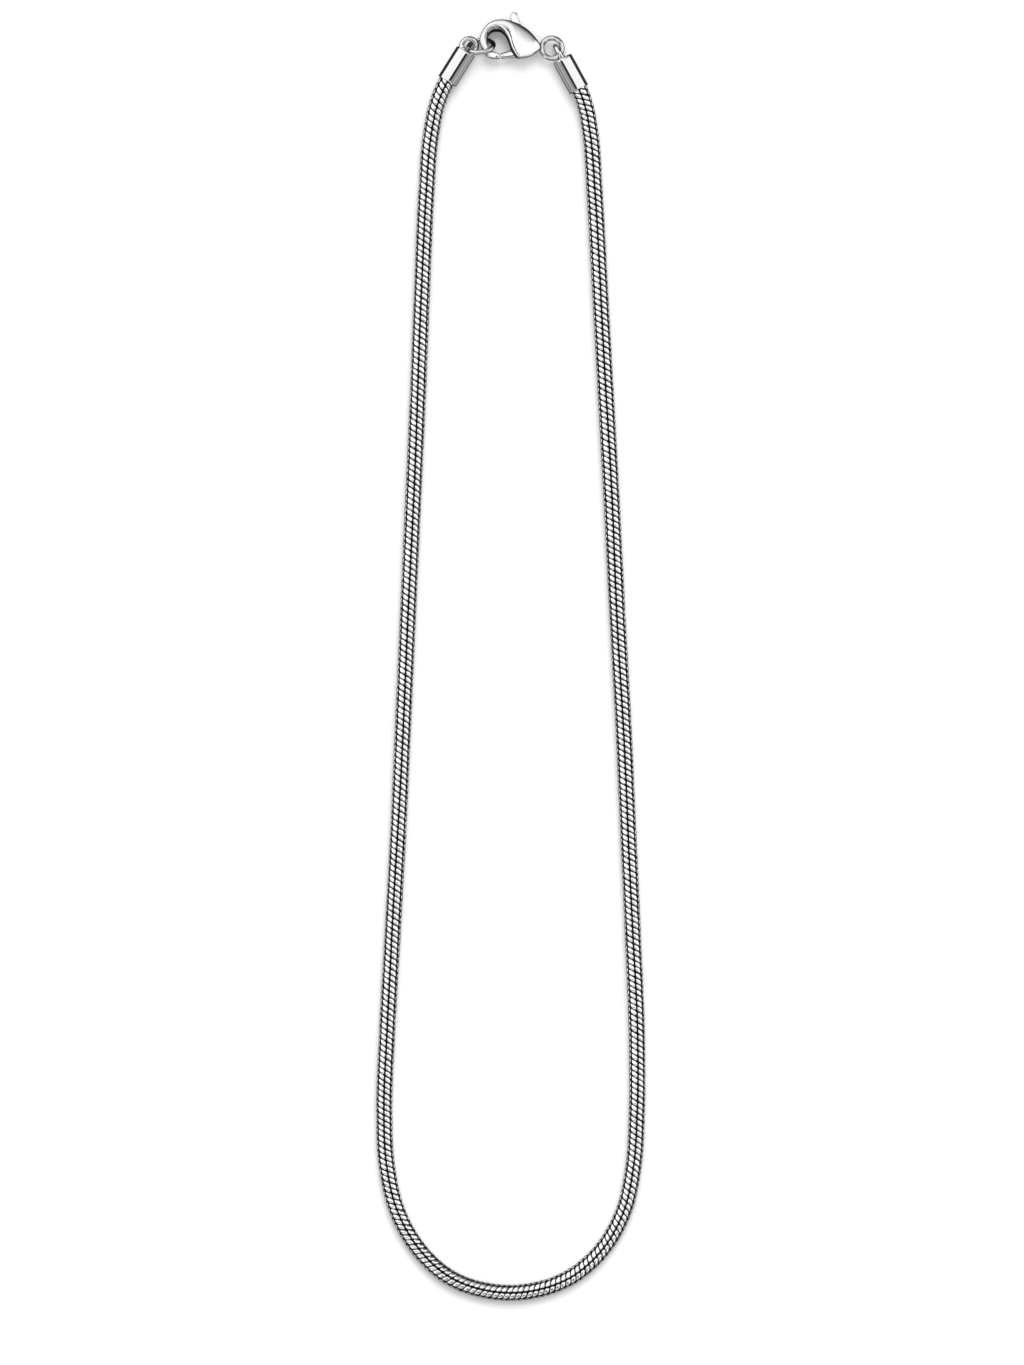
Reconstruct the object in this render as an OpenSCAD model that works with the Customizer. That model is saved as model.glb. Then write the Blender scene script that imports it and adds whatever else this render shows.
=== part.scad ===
// Round snake chain necklace with a lobster clasp, lying flat in its closed loop.
// Millimetres, +Z up from the surface it lies on, +Y towards the clasp.
// The origin is on the surface, in the middle of the necklace's length and width.

/* [Chain] */
// Width of the chain across its corners
chain_d = 3.1; // [2.6:0.1:3.1]
// Rings of the chain's tube between two points of its route
chain_steps = 2; // [1:1:4]
// Gap between two stretches of the chain
chain_gap = 0.1; // [0.05:0.05:0.2]

/* [End caps] */
// Outer diameter of an end cap
cap_d = 3.8; // [3.8:0.1:4.2]
// Length of an end cap without its loop
cap_len = 6.5; // [6:0.1:7]
// Bore that takes the chain
cap_bore = 3.3; // [3.3:0.05:3.4]
// Thickness of the closed end
cap_floor = 1.0; // [1:0.1:1.5]
// Chamfer on a cap's outer edges
cap_chamfer = 0.12; // [0.05:0.01:0.2]
// Wire of the soldered loop
loop_wire = 0.95; // [0.8:0.05:0.95]
// Radius of the soldered loop to the middle of its wire
loop_r = 1.42; // [1.38:0.01:1.42]
// How far the loop's middle stands off the closed end
loop_reach = 1.1; // [1.05:0.01:1.1]

/* [Jump ring] */
// Wire of the jump ring
jump_wire = 0.85; // [0.7:0.05:0.85]
// Radius of the jump ring to the middle of its wire
jump_r = 2.32; // [2.3:0.01:2.34]
// Angle at which the jump ring leans on the hook
jump_tilt = 59; // [57:1:60]

/* [Clasp] */
// Wire of the tail ring
tail_wire = 0.95; // [0.8:0.05:1]
// Radius of the tail ring to the middle of its wire
tail_r = 1.88; // [1.85:0.01:1.9]
// How square the clasp's sections are, where 2 is an ellipse
clasp_squareness = 2.3; // [2:0.1:3]
// Sides of a section of the clasp
clasp_sides = 20; // [16:4:32]
// Sections of the clasp between two rows of its table
clasp_steps = 2; // [1:1:3]
// Width of the slot that the lever swings in
slot_width = 1.45; // [1.4:0.01:1.6]
// Diameter of the hinge pin
pin_d = 0.9; // [0.8:0.05:0.95]
// Length of the hinge pin, which ends blind in both cheeks
pin_len = 2.2; // [1.9:0.1:2.4]

/* [Lever] */
// Thickness of the lever
lever_thick = 1.25; // [1:0.05:1.25]
// Bore of the lever on the pin
lever_bore = 1.0; // [1:0.01:1.04]
// Outer radius of the lever's hub
hub_r = 0.95; // [0.85:0.05:0.95]
// Distance from the pin to the gate's end
gate_reach = 4.05; // [3.9:0.01:4.05]
// Gap between the gate's end and the hook's tip
gate_gap = 0.13; // [0.12:0.01:0.2]

/* [Hidden] */
round_sides = 64;
steel = "#d9dadc";
dark_steel = "#8f9093";

// Heights of the middles above the surface
chain_sides = 8;
chain_z = chain_d / 2 * cos(180 / chain_sides);
cap_z = cap_d / 2;
clasp_z = cap_z;
jump_z = jump_r * sin(jump_tilt) + jump_wire / 2;

// Middle of each cap's closed end, and the direction that it faces
cap_end_left = [-8.15, 111.6];
cap_heading_left = 58;
cap_end_right = [9.6, 110.3];
cap_heading_right = 118.7;
// Turn of each loop about its cap's axis, where 0 stands it upright
loop_turn_left = -74;
loop_turn_right = 0;

// Middle of the jump ring, and the direction of the axis that it leans about
jump_at = [-5.34, 112.53];
jump_heading = 8;

// Middle of the tail ring, which the clasp's own measures start from
tail_at = [7.72, 112.18];

// Route of the chain from the left cap round to the right one, as x, y, lift:
// lift is 0 where the chain lies on the surface and 1 at the height of the caps
chain_route = [
    [-8.79, 110.58, 1], [-10.27, 108.21, 1], [-12.02, 105.41, 1],
    [-13.4, 102, 0.7], [-14.6, 96, 0.1], [-15.4, 86, 0],
    [-16.2, 68, 0], [-17, 48, 0], [-17.9, 28, 0], [-18.8, 8, 0],
    [-19.7, -12, 0], [-20.6, -32, 0], [-21.7, -52, 0], [-22.7, -70, 0],
    [-23.2, -84, 0], [-22.7, -94, 0], [-20.9, -102, 0], [-17.1, -109, 0],
    [-11.7, -114.2, 0], [0.1, -117.4, 0], [11.8, -114.1, 0],
    [17.3, -109, 0], [21.1, -102, 0], [22.8, -94, 0], [23.4, -84, 0],
    [23.4, -70, 0], [22.7, -52, 0], [21.8, -32, 0], [20.9, -12, 0],
    [19.8, 8, 0], [18.8, 28, 0], [17.7, 48, 0], [16.6, 68, 0],
    [15.6, 86, 0], [14.9, 96, 0.1], [14, 101.2, 0.7],
    [13.1, 103.9, 1], [11.52, 106.79, 1], [10.18, 109.25, 1]
];
// Rows of the route where one stretch of the chain ends and the next begins
chain_cuts = [0, 5, 9, 14, 19, 25, 29, 33, 38];

// Sections of the clasp from its neck over the body and round the hook to its tip,
// as outer x, outer y, inner x, inner y, half depth, from the tail ring's middle
clasp_sections = [
    [-1.9, 0.5, -1.9, -0.4, 0.42],
    [-2.65, 1.5, -2.65, -0.85, 1.0],
    [-3.75, 2.8, -3.75, -1.4, 1.5],
    [-4.95, 3.8, -5.1, -1.75, 1.75],
    [-6.1, 4.5, -6.5, -1.85, 1.85],
    [-7.25, 4.9, -7.2, -0.7, 1.8],
    [-8.35, 5.2, -7.8, 0.85, 1.65],
    [-9.45, 5.28, -8.5, 2.2, 1.5],
    [-10.65, 5.1, -9.45, 2.95, 1.3],
    [-11.8, 4.5, -10.5, 3.1, 1.12],
    [-12.7, 3.4, -11.4, 2.65, 0.93],
    [-13.3, 1.85, -11.9, 1.7, 0.82],
    [-13.1, 0.4, -11.9, 0.6, 0.8],
    [-12.5, -0.85, -11.55, -0.2, 0.8],
    [-11.5, -1.8, -10.9, -0.6, 0.83],
    [-10.5, -2.0, -10.3, -0.8, 0.83],
    [-9.4, -1.9, -9.4, -1.05, 0.83]
];

// Hinge pin, from the tail ring's middle
pin_at = [-5.6, -0.55];
// Slot for the lever's swing, open to the hook's window, the back and the belly
slot_outline = [
    [-8.9, -2.4], [-5.1, -2.4], [-4.5, -1], [-4.4, -0.3], [-3.7, 2.8], [-3.2, 5],
    [-3.2, 6.5], [-7.77, 6.5], [-7.77, 5], [-7.1, 3], [-6.97, 0.85], [-8.3, 0.85]
];
// Lever: gate, then the arm to the tab and back to the hub
gate_outline = [
    [-10, -1.1], [-8.8, -0.76], [-7.7, -0.42], [-6.3, -0.1],
    [-5.6, -1.45], [-6.8, -1.7], [-8, -1.9], [-10, -1.95]
];
arm_outline = [
    [-6.5, -0.3], [-6.8, 0.8], [-6.95, 3], [-7.62, 5], [-7.62, 6], [-6.24, 6],
    [-5.75, 4.7], [-4.7, -0.3]
];
tab_at = [-6.93, 6];
tab_r = 0.69;
// Corners of the blocks round the hook's tip and the gate's end, where arcs about the pin cut them
tip_block = [[-10.3, -2.3], [-9.2, -0.7]];
gate_block = [[-11, -3], [-8, 0]];
// Height of a cut that goes through the whole clasp
through = 2 * cap_d;

function unit(v) = v / norm(v);
function signed_power(v, e) = sign(v) * pow(abs(v), e);

// Smooth curve through rows of numbers, with a slope at each that suits uneven spacing
function step_length(rows, i) = norm(rows[i + 1] - rows[i]);
function step_slope(rows, i) = (rows[i + 1] - rows[i]) / step_length(rows, i);
function row_slope(rows, i) =
    i == 0 ? step_slope(rows, 0) :
    i == len(rows) - 1 ? step_slope(rows, i - 1) :
    (step_length(rows, i) * step_slope(rows, i - 1) + step_length(rows, i - 1) * step_slope(rows, i))
        / (step_length(rows, i - 1) + step_length(rows, i));
function row_between(rows, i, t) =
    let (h = step_length(rows, i))
    (2 * t * t * t - 3 * t * t + 1) * rows[i] + (t * t * t - 2 * t * t + t) * h * row_slope(rows, i)
    + (3 * t * t - 2 * t * t * t) * rows[i + 1] + (t * t * t - t * t) * h * row_slope(rows, i + 1);
function smooth_rows(rows, steps) = concat(
    [for (i = [0 : len(rows) - 2], k = [0 : steps - 1]) row_between(rows, i, k / steps)],
    [rows[len(rows) - 1]]
);

// Closed solid through rings that have the same number of points
module skin(rings) {
    count = len(rings);
    sides = len(rings[0]);
    walls = [for (r = [0 : count - 2], s = [0 : sides - 1]) let (n = (s + 1) % sides) each [
        [r * sides + s, r * sides + n, (r + 1) * sides + s],
        [r * sides + n, (r + 1) * sides + n, (r + 1) * sides + s]
    ]];
    first_end = [for (s = [sides - 1 : -1 : 0]) s];
    last_end = [for (s = [0 : sides - 1]) (count - 1) * sides + s];
    polyhedron(points = [for (ring = rings) each ring], faces = concat(walls, [first_end, last_end]));
}

chain_middles = [for (row = smooth_rows(chain_route, chain_steps))
    [row[0], row[1], chain_z + max(row[2], 0) * (cap_z - chain_z)]];
chain_last = len(chain_middles) - 1;

// Section of the chain at one of its middles, moved along by ahead_by
function chain_ring(i, ahead_by) =
    let (
        ahead = unit(chain_middles[min(i + 1, chain_last)] - chain_middles[max(i - 1, 0)]),
        side = unit(cross(ahead, [0, 0, 1])),
        up = cross(side, ahead)
    )
    [for (k = [0 : chain_sides - 1]) let (a = (k + 0.5) * 360 / chain_sides)
        chain_middles[i] + ahead_by * ahead + chain_d / 2 * (cos(a) * side + sin(a) * up)];

// One stretch of the chain, which stops half a gap short of its neighbours
module chain_stretch(n) {
    first = chain_cuts[n] * chain_steps;
    last = chain_cuts[n + 1] * chain_steps;
    color(dark_steel) skin([for (i = [first : last]) chain_ring(i,
        i == first && first > 0 ? chain_gap / 2 : i == last && last < chain_last ? -chain_gap / 2 : 0)]);
}

module wire_ring(middle_r, wire) {
    rotate_extrude($fn = round_sides) translate([middle_r, 0]) circle(d = wire, $fn = round_sides / 2);
}

// Cap with its mouth downwards along its axis and its loop on the closed end at z = 0
module end_cap(loop_turn) {
    r = cap_d / 2;
    color(steel) union() {
        rotate_extrude($fn = round_sides) polygon([
            [0, 0], [r - cap_chamfer, 0], [r, -cap_chamfer], [r, cap_chamfer - cap_len],
            [r - cap_chamfer, -cap_len], [cap_bore / 2, -cap_len], [cap_bore / 2, -cap_floor],
            [0, -cap_floor]
        ]);
        translate([0, 0, loop_reach]) rotate([90, 0, loop_turn]) wire_ring(loop_r, loop_wire);
    }
}

module end_cap_left() {
    translate([cap_end_left[0], cap_end_left[1], cap_z]) rotate([0, 90, cap_heading_left])
        end_cap(loop_turn_left);
}

module end_cap_right() {
    translate([cap_end_right[0], cap_end_right[1], cap_z]) rotate([0, 90, cap_heading_right])
        end_cap(loop_turn_right);
}

module jump_ring() {
    color(steel) translate([jump_at[0], jump_at[1], jump_z]) rotate([-jump_tilt, 0, jump_heading])
        wire_ring(jump_r, jump_wire);
}

module at_clasp() {
    translate([tail_at[0], tail_at[1], clasp_z]) children();
}

function clasp_ring(row) = [for (k = [0 : clasp_sides - 1])
    let (
        a = k * 360 / clasp_sides,
        e = 2 / clasp_squareness,
        out = signed_power(cos(a), e),
        outer = [row[0], row[1]],
        inner = [row[2], row[3]],
        place = (outer + inner) / 2 + (outer - inner) / 2 * out
    )
    [place[0], place[1], row[4] * signed_power(sin(a), e)]];

module disc(at, radius, height) {
    translate([at[0], at[1], 0]) cylinder(r = radius, h = height, center = true, $fn = round_sides);
}

module block(corners, height) {
    size = corners[1] - corners[0];
    translate([corners[0][0], corners[0][1], -height / 2]) cube([size[0], size[1], height]);
}

module clasp_body() {
    color(steel) at_clasp() {
        difference() {
            union() {
                skin([for (row = smooth_rows(clasp_sections, clasp_steps)) clasp_ring(row)]);
                wire_ring(tail_r, tail_wire);
            }
            linear_extrude(slot_width, center = true) polygon(slot_outline);
            intersection() {
                disc(pin_at, gate_reach + gate_gap, through);
                block(tip_block, through);
            }
        }
        disc(pin_at, pin_d / 2, pin_len);
    }
}

module plate(outline) {
    linear_extrude(lever_thick, center = true) polygon(outline);
}

module lever_blank() {
    plate(gate_outline);
    plate(arm_outline);
    disc(tab_at, tab_r, lever_thick);
    disc(pin_at, hub_r, lever_thick);
}

module clasp_lever() {
    color(steel) at_clasp() difference() {
        lever_blank();
        disc(pin_at, lever_bore / 2, through);
        difference() {
            block(gate_block, through / 2);
            disc(pin_at, gate_reach, through);
        }
    }
}

for (n = [0 : len(chain_cuts) - 2]) chain_stretch(n);
end_cap_left();
end_cap_right();
jump_ring();
clasp_body();
clasp_lever();
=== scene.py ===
"""Looks of the round snake chain necklace: its linked scales, caps, rings and clasp in polished steel.

Metres, +Z up from the surface that the necklace lies on, +Y towards the clasp.
"""

import math

import bmesh
import bpy
import numpy as np
from mathutils import Matrix, Vector, kdtree


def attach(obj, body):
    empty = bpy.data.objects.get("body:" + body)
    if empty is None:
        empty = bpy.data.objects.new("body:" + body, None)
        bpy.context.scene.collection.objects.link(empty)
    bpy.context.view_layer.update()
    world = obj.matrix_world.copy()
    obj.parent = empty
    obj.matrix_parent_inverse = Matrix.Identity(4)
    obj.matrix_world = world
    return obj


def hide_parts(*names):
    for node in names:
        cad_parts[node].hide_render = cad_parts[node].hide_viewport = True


MM = 0.001

# Camera: straight above, with the photo's frame on the plane through the middle of the chain
FRAME_HEIGHT = 251.8 * MM
LENS = 200
SENSOR = 24
LOOK_AT = (0.37 * MM, -4.8 * MM, 1.5 * MM)
CLIP_START = 0.01
CLIP_END = 20

# Studio, by the direction of a ray: front is towards the photo's bottom and back towards its top,
# sideways is left and right alike, and steepness is front over sideways. Each pair of values runs
# from where something is absent to where it is whole.
NEVER_NOUGHT = 0.001
FRONT_START = -0.072
BACK_START = 0.053
CARD_NEAR = (0.15, 0.2)
CARD_FAR = (0.9, 0.65)
CARD_INNER = (0.36, 0.48)
CARD_STEEP = (0.8, 0.68)
CARD_GREYS = [
    (0.48, 0.06), (0.58, 0.4), (0.7, 0.22), (0.82, 0.42), (0.88, 0.42), (0.91, 0.2), (0.95, 0.5),
]
EDGE_NEAR = (-0.05, -0.02)
EDGE_FAR = (0.24, 0.18)
EDGE_INNER = (0.11, 0.15)
EDGE_OUTER = (0.62, 0.5)
EDGE_LIGHT = 0.02
FOOT_NEAR = (0.22, 0.45)
FOOT_FAR = (0.98, 0.72)
FOOT_STEEP = (1.2, 1.8)
FOOT_LIGHT = 0.06
WEDGE_RIGHT = (0.51, 0.62)
WEDGE_LEFT = (1.55, 1.15)
WEDGE_GREYS = [(0, 1), (0.3, 0.8), (0.42, 0.66), (0.52, 0.55), (0.65, 0.42), (0.82, 0.25), (1, 0.07)]
BACK_NEAR = (0.12, 0.5)
BACK_OUTER = (0.55, 0.3)
BACK_LIGHT = 0.85
STUDIO_STRENGTH = 1.35
SOFT_STRENGTH = 0.98
PLAIN_GREY = 0.93

# Sun: wide and soft, from the photo's top
SUN_STRENGTH = 2.15
SUN_WIDTH = 45
SUN_FROM = (0.12, 0.85, 1)

# Floor: pale to the eye, and in the metal's mirror image darker the further it is from one spot
FLOOR_REACH = 3.0
FLOOR_GREYS = [(0.3, 0.86), (0.7, 0.875)]
MIRRORED_SPOT = (0.5 * MM, 104 * MM, 0)
MIRRORED_REACH = (0.004, 0.013)
MIRRORED_GREYS = [(0, 0.6), (0.55, 0.33), (0.8, 0.12), (1, 0.06)]

# Metals: how light, rough and metallic they are by how worn, as deep places stay unworn and dark
# with oxide on the chain. On the clasp the same per-point value is painted shade and painted reflection.
CHAIN_GREYS = [(0, 0.01), (0.35, 0.03), (0.6, 0.6), (0.75, 0.92), (1, 0.96)]
CHAIN_EDGE = 0.04
CHAIN_BLOTCHES = 0.25
CHAIN_WORN = (0.2, 0.85)
CHAIN_ROUGHNESS = (0.5, 0.2)
# Painted shade on the clasp: its grey and its metallic share by the per-point value
PAINTED_SHADE_GREYS = [(0, 0.02), (0.3, 0.08), (0.6, 0.4), (0.9, 1), (1, 1)]
PAINTED_SHADE_METALLIC = (0.05, 0.6)
SCRATCH_DEPTH = 0.00002
SCRATCH_STRETCH = (1, 14, 1)

# Chain: rings of six domed scales, which line up in slanting rows round it as each column of scales
# lies a share of a pitch behind the last one. The cuts between its nodes are counted in route points.
RING_PITCH = 1.04 * MM
RING_RADIUS = 1.5 * MM
COLUMNS = 6
ROW_SHIFT = 2 / 3
FIRST_SHIFT = 1 / 3
CAP_HEIGHT = 1.9 * MM
CHAIN_NODES = [
    "chain_left_end", "chain_left_upper", "chain_left_lower", "chain_bend_left",
    "chain_bend_right", "chain_right_lower", "chain_right_upper", "chain_right_end",
]
CHAIN_CUTS = [0, 5, 9, 14, 19, 25, 29, 33, 38]
ROUTE_STEPS = 60
CORE_RADIUS = 1.08 * MM
CORE_SIDES = 16
CORE_STEP = 1.0 * MM

# Points on the chain's middle line: x and y in mm, and how far it is lifted to the caps' height
CHAIN_ROUTE = [
    (-8.79, 110.58, 1), (-10.27, 108.21, 1), (-12.02, 105.41, 1),
    (-13.4, 102, 0.7), (-14.6, 96, 0.1), (-15.4, 86, 0),
    (-16.2, 68, 0), (-17, 48, 0), (-17.9, 28, 0), (-18.8, 8, 0),
    (-19.7, -12, 0), (-20.6, -32, 0), (-21.7, -52, 0), (-22.7, -70, 0),
    (-23.2, -84, 0), (-22.7, -94, 0), (-20.9, -102, 0), (-17.1, -109, 0),
    (-11.7, -114.2, 0), (0.1, -117.4, 0), (11.8, -114.1, 0),
    (17.3, -109, 0), (21.1, -102, 0), (22.8, -94, 0), (23.4, -84, 0),
    (23.4, -70, 0), (22.7, -52, 0), (21.8, -32, 0), (20.9, -12, 0),
    (19.8, 8, 0), (18.8, 28, 0), (17.7, 48, 0), (16.6, 68, 0),
    (15.6, 86, 0), (14.9, 96, 0.1), (14, 101.2, 0.7),
    (13.1, 103.9, 1), (11.52, 106.79, 1), (10.18, 109.25, 1),
]

# Chance in each scale's place: along in pitches, then depth and roll in mm
CHANCE_SEED = 7
SHIFT_SPREAD = 0.02
LIFT_SPREAD = 0.02
ROLL_SPREAD = 0.05

# Slow turning of the columns: size in degrees, rate and start of each wave, and one more turn that
# fades out from the chain's start
TWIST_WAVES = [(3.5, 23.0, 0.0), (2.5, 61.0, 1.0)]
END_TWIST = 14
END_TWIST_REACH = 16 * MM

# A scale from tip to tip: share of its half angle, share of its width, drop of its surface in mm
SCALE_STATIONS = np.array([
    (-1.0, 0.16, 0.26), (-0.93, 0.5, 0.14), (-0.8, 0.86, 0.045), (-0.5, 1.0, 0.0), (0, 1.0, 0.0),
    (0.5, 1.0, 0.0), (0.8, 0.86, 0.045), (0.93, 0.5, 0.14), (1.0, 0.16, 0.26),
])
# Across a scale: share of its half width, drop of its surface in mm, wear
SCALE_PROFILE = np.array([
    (-1.0, 0.3, 0.0), (-0.93, 0.17, 0.1), (-0.78, 0.06, 0.6), (-0.45, 0.012, 1), (0, 0.0, 1),
    (0.45, 0.012, 1), (0.78, 0.06, 0.6), (0.93, 0.17, 0.1), (1.0, 0.3, 0.0),
])
SCALE_REACH = 0.9
SCALE_THICKNESS = 0.42
UNDERSIDE_WIDTH = 0.7
UNDERSIDE_DROP = 0.4
UNWORN_DROP = 0.2

# Edges of carved pieces are sharp where their faces meet at more degrees than this
SHARP_ANGLE = 35

# Caps, in mm: turned from steel, open at the mouth, with a wire loop soldered on the closed end
CAP_RADIUS = 1.9
CAP_BORE = 1.65
CAP_LENGTH = 6.5
CAP_FLOOR = 1.0
CAP_EDGE = 0.22
CAP_LIP = 0.07
CAP_INNER = 0.05
CAP_SIDES = 72
CAP_AXIS = 0.001
CAP_END_STEPS = 7
SIDE_TOP = 0.6
SIDE_BOTTOM = 0.4
SIDE_STEPS = 12
LOOP_WIRE = 0.475
LOOP_RADIUS = 1.42
LOOP_REACH = 1.1
LOOP_GAP = 0.3
LOOP_STEPS = 72
LOOP_SIDES = 24
SOLDER_REACH = 0.28
SOLDER_THICKENING = 0.42
CAPS = [("end_cap_left", (-8.15, 111.6), 58, -74), ("end_cap_right", (9.6, 110.3), 118.7, 0)]

# Jump ring, in mm: plain wire, cut through once and pressed shut
JUMP_WIRE = 0.425
JUMP_RADIUS = 2.32
JUMP_AT = (-5.34, 112.53, 2.41)
JUMP_TILT = 59
JUMP_HEADING = 8
JUMP_STEPS = 360
SEAM_AT = 290
SEAM_DEPTH = 0.09
SEAM_WIDTH = 0.05
WIRE_SIDES = 28

# Clasp, in mm from the middle of its tail ring
CLASP_AT = (7.72, 112.18, 1.9)
TAIL_RADIUS = 1.88
TAIL_WIRE = 0.475
TAIL_STEPS = 120
# Painted shade over the whole tail ring: how light it is left
TAIL_PAINTED_LIGHT = 0.8
PIN_AT = (-5.6, -0.55)
PIN_RADIUS = 0.45
PIN_HALF = 1.1
PIN_SIDES = 32
SLOT_HALF = 0.725
CLASP_STEPS = 7

# Sections from the ring through the body and round the hook: outer x and y, inner x and y, half
# depth, then from the inner side the widths of the wall, the ledge and the lip, the depth of the
# crease behind the lip, how far the face slopes down towards the outer side as a share of the half
# depth, the width of its rounding there, and how dark the inner wall is painted, a painted shade and
# reflection that also makes the wall slope
CLASP_SECTIONS = [
    (-1.85, 0.3, -1.85, -0.15, 0.45, 0.15, 0, 0.02, 0, 0, 0.25, 0),
    (-2.2, 0.85, -2.2, -0.35, 1.05, 0.25, 0, 0.02, 0, 0, 0.8, 0),
    (-2.75, 1.58, -2.8, -0.75, 1.42, 0.25, 0, 0.02, 0, 0, 1.8, 0),
    (-3.75, 2.8, -3.75, -1.37, 1.65, 0.25, 0, 0.02, 0, 0, 3.3, 0),
    (-4.95, 3.8, -5.1, -1.78, 1.77, 0.25, 0, 0.02, 0, 0, 4, 0),
    (-5.6, 4.2, -5.95, -1.88, 1.82, 0.3, 0, 0.1, 0, 0, 3.8, 0.15),
    (-6.1, 4.5, -6.55, -1.82, 1.84, 0.4, 0, 0.3, 0.1, 0, 3.3, 0.9),
    (-7.25, 4.9, -7.4, -0.75, 1.8, 0.45, 0, 0.38, 0.2, 0, 2.4, 1),
    (-8.35, 5.2, -7.95, 0.85, 1.65, 0.55, 0.01, 0.38, 0.12, 0.05, 1.3, 1),
    (-9.45, 5.28, -8.6, 2.2, 1.5, 0.5, 0.1, 0.28, 0.04, 0.05, 0.9, 1),
    (-10.65, 5.1, -9.45, 2.9, 1.3, 0.52, 0.16, 0.25, 0, 0.03, 0.6, 1),
    (-11.8, 4.5, -10.5, 3.0, 1.12, 0.62, 0.18, 0.25, 0, 0.03, 0.55, 1),
    (-12.7, 3.4, -11.35, 2.6, 0.93, 0.48, 0.14, 0.2, 0, 0.03, 0.5, 0.9),
    (-13.3, 1.85, -11.9, 1.7, 0.82, 0.3, 0.06, 0.2, 0, 0.03, 0.4, 0.6),
    (-13.1, 0.4, -11.9, 0.6, 0.8, 0.25, 0, 0.1, 0, 0.03, 0.4, 0.3),
    (-12.5, -0.85, -11.55, -0.2, 0.8, 0.25, 0, 0.05, 0, 0.03, 0.4, 0),
    (-11.5, -1.8, -10.9, -0.6, 0.83, 0.25, 0, 0.03, 0, 0.03, 0.4, 0),
    (-10.5, -2.0, -10.3, -0.8, 0.83, 0.25, 0, 0.03, 0, 0.03, 0.35, 0),
    (-9.66, -1.97, -9.84, -0.93, 0.83, 0.25, 0, 0.03, 0, 0.03, 0.35, 0),
    (-9.58, -1.93, -9.77, -0.98, 0.78, 0.25, 0, 0.03, 0, 0.03, 0.35, 0),
    (-9.56, -1.85, -9.74, -1.06, 0.68, 0.25, 0, 0.03, 0, 0.03, 0.35, 0),
]
SLOT_OUTLINE = [
    (-8.9, -2.4), (-5.1, -2.4), (-4.5, -1), (-4.4, -0.3), (-3.7, 2.8), (-3.2, 5), (-3.2, 6.5),
    (-7.77, 6.5), (-7.77, 5), (-7.1, 3), (-6.97, 0.85), (-8.3, 0.85),
]

# Zones of a section, from the inner side: points on the wall, ledge, step, lip, crease, face, edge
ZONE_STEPS = (8, 3, 4, 6, 7, 12, 12)
# Widths in mm, and the ledge and crease that give the step and the crease their full size
STEP_WIDTH = 0.09
CREASE_WIDTH = 0.28
LEAST_WIDTH = 0.01
LEAST_LEDGE = 0.004
FULL_LEDGE = 0.2
FULL_CREASE = 0.06
# Most of a section's width that the zones up to the crease take, and of the rest that the edge takes
INNER_SHARE = 0.65
EDGE_SHARE = 0.9
LEAST_SQUARENESS = 0.4
# Heights as shares of the half depth
FACE_HEIGHT = 0.97
LIP_DROP = 0.06
SHOULDER_DROP = 0.02
STEP_HEIGHT = 0.3
LEDGE_RISE = 0.02
FLANK_HEIGHT = 0.42
WALL_ROUNDING = 0.6
# Share of the wall that stands upright, and the powers of the curves of its sloping form
UPRIGHT_SHARE = 0.3
SLOPING_RISE = 0.7
SLOPING_RUN = 0.9
# The face's crown, its fall towards the outer side, and the power of the curve of its edge
LIP_CROWN = 0.05
FACE_CROWN = 0.01
CROWN_SHARE = 0.4
FALL_START = 0.2
FALL_POWER = 1.6
EDGE_POWER = 2.4
# Painted shade and painted reflection on the clasp: darkness of the ledge, of the top of a wall with
# no ledge, of a crease, and of the flanks
LEDGE_DARKNESS = 0.35
WALL_TOP_LIGHT = 0.5
WALL_TOP_POWER = 10
STEP_POWER = 3
DARK_CREASE = 0.15
CREASE_DARKNESS = 0.8
FLANK_PAINTED_SHADE = 0.5
FLANK_POWER = 1.5

# Lever, in mm: the two sides of each section of its gate and arm, x and y, and its half depth
GATE_SECTIONS = [
    (-5.9, -0.2, -5.8, -1.45, 0.6), (-6.8, -0.24, -6.7, -1.66, 0.62), (-7.7, -0.44, -7.6, -1.82, 0.62),
    (-8.8, -0.78, -8.7, -1.9, 0.62), (-9.47, -0.98, -9.28, -1.93, 0.62), (-9.56, -1.03, -9.37, -1.9, 0.58),
    (-9.6, -1.1, -9.41, -1.83, 0.5),
]
ARM_SECTIONS = [
    (-6.4, -0.7, -4.9, -0.7, 0.6), (-6.75, 0.8, -5.05, 0.8, 0.62), (-6.93, 3.0, -5.45, 3.0, 0.62),
    (-7.45, 4.6, -5.85, 4.6, 0.62), (-7.6, 5.6, -6.2, 5.6, 0.6), (-7.57, 6.15, -6.3, 6.15, 0.56),
    (-7.36, 6.48, -6.52, 6.48, 0.46), (-7.12, 6.64, -6.75, 6.64, 0.3),
]
LEVER_HALF = 0.62
LIMB_STEPS = 8
LIMB_SIDES = 40
GATE_SQUARENESS = 2.3
ARM_SQUARENESS = 5
HUB_RADIUS = 0.95
HUB_SIDES = 48
BORE_RADIUS = 0.5
BORE_HALF = 3
BORE_SIDES = 40
# Power of the painted shade along the gate's lower edge
GATE_SHADE_POWER = 4


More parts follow.
